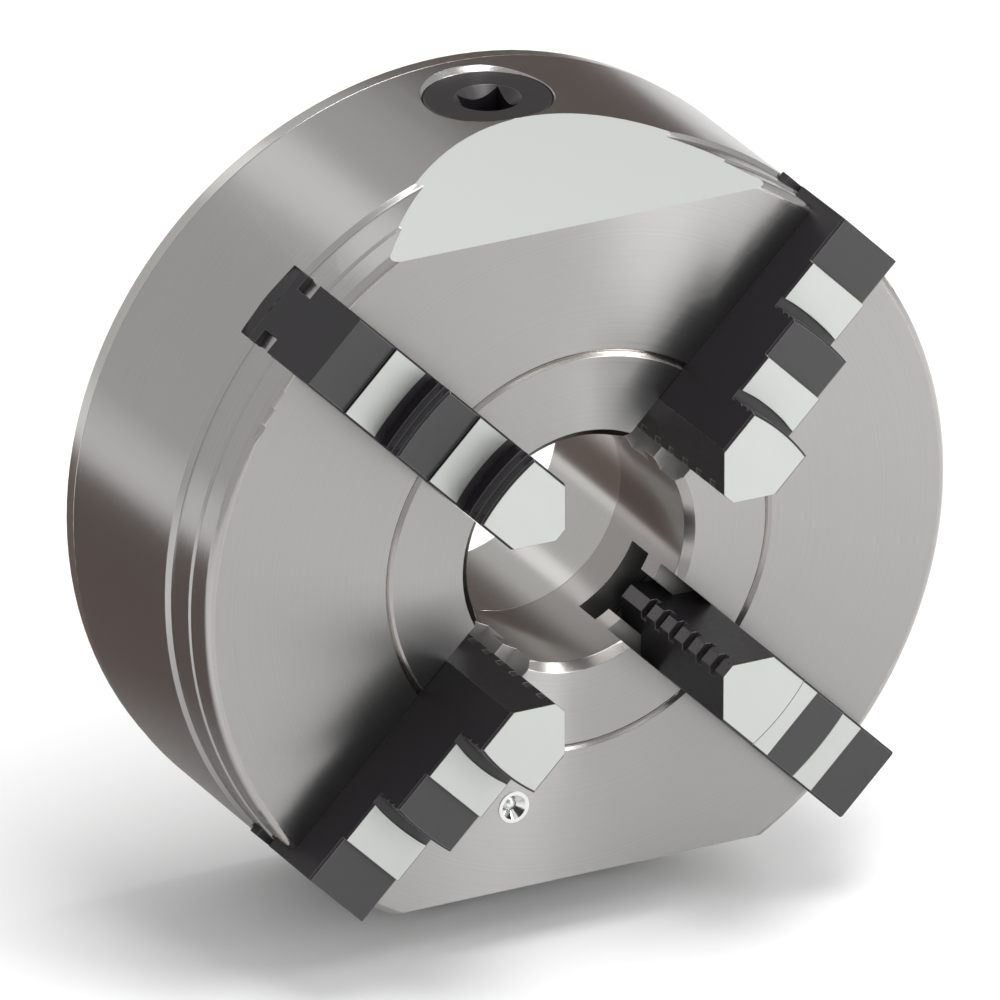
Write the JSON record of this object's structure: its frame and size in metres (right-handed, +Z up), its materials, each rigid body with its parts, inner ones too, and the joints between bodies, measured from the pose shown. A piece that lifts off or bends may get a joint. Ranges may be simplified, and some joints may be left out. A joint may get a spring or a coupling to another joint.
{
  "type": "lathe chuck",
  "caption": "Self-centring lathe chuck: a round steel body with a through bore, stepped jaws sliding in radial guides, a spiral scroll plate inside and bevel pinions turned by a square key.",
  "frame": {"origin": "centre of the mounting face, where it meets the chuck's axis", "axes": "+Y along the chuck's axis towards the lathe spindle, so the jaws face -Y; +Z up through the upper pinion; +X to the right as seen from the jaws"},
  "size_m": [0.2, 0.1063, 0.2],
  "materials": {
    "body_steel": "satin-turned bright steel",
    "cover_steel": "bright turned steel",
    "jaw_steel": "black oxide on hardened steel, with ground lands",
    "pinion_steel": "black oxide on hardened steel",
    "scroll_steel": "turned and hardened steel",
    "screw_steel": "black oxide",
    "pin_steel": "ground steel",
    "nipple_steel": "zinc-plated steel",
    "spring_steel": "drawn spring wire"
  },
  "bodies": {
    "chuck": {"chuck_body": "body_steel", "rear_cover": "cover_steel", "cover_screws": "screw_steel", "locating_pins": "pin_steel", "pinion_pin_top": "pin_steel", "pinion_pin_bottom": "pin_steel", "nipple_sleeve": "nipple_steel", "nipple_spring": "spring_steel"},
    "scroll": {"scroll_plate": "scroll_steel"},
    "pinion_top": {"pinion_top": "pinion_steel"},
    "pinion_bottom": {"pinion_bottom": "pinion_steel"},
    "jaw_1": {"jaw_1": "jaw_steel"},
    "jaw_2": {"jaw_2": "jaw_steel"},
    "jaw_3": {"jaw_3": "jaw_steel"},
    "jaw_4": {"jaw_4": "jaw_steel"},
    "nipple_ball": {"nipple_ball": "nipple_steel"}
  },
  "joints": [
    {"name": "scroll_turn", "type": "hinge", "parent": "chuck", "child": "scroll", "pos_m": [0, 0, 0], "axis": [0, 1, 0], "range_deg": [-1260, 1080]},
    {"name": "jaw_1_slide", "type": "slide", "parent": "chuck", "child": "jaw_1", "axis": [0.7071, 0, 0.7071], "range_m": [-0.02801, 0.02401]},
    {"name": "jaw_2_slide", "type": "slide", "parent": "chuck", "child": "jaw_2", "axis": [-0.7071, 0, 0.7071], "range_m": [-0.02801, 0.02401]},
    {"name": "jaw_3_slide", "type": "slide", "parent": "chuck", "child": "jaw_3", "axis": [-0.7071, 0, -0.7071], "range_m": [-0.02801, 0.02401]},
    {"name": "jaw_4_slide", "type": "slide", "parent": "chuck", "child": "jaw_4", "axis": [0.7071, 0, -0.7071], "range_m": [-0.02801, 0.02401]},
    {"name": "pinion_top_turn", "type": "hinge", "parent": "chuck", "child": "pinion_top", "pos_m": [0, -0.0255, 0], "axis": [0, 0, 1], "range_deg": [-7561, 6481]},
    {"name": "pinion_bottom_turn", "type": "hinge", "parent": "chuck", "child": "pinion_bottom", "pos_m": [0, -0.0255, 0], "axis": [0, 0, -1], "range_deg": [-7561, 6481]},
    {"name": "nipple_press", "type": "slide", "parent": "chuck", "child": "nipple_ball", "axis": [0, 1, 0], "range_m": [0, 0.0012], "stiffness_N_per_m": 100, "springref_m": -0.001, "deforming": ["nipple_spring"]}
  ],
  "couplings": [
    {"joint": "jaw_1_slide", "follows": "scroll_turn", "m_per_rad": 0.0012732},
    {"joint": "jaw_2_slide", "follows": "scroll_turn", "m_per_rad": 0.0012732},
    {"joint": "jaw_3_slide", "follows": "scroll_turn", "m_per_rad": 0.0012732},
    {"joint": "jaw_4_slide", "follows": "scroll_turn", "m_per_rad": 0.0012732},
    {"joint": "pinion_top_turn", "follows": "scroll_turn", "ratio": 6},
    {"joint": "pinion_bottom_turn", "follows": "scroll_turn", "ratio": 6}
  ]
}
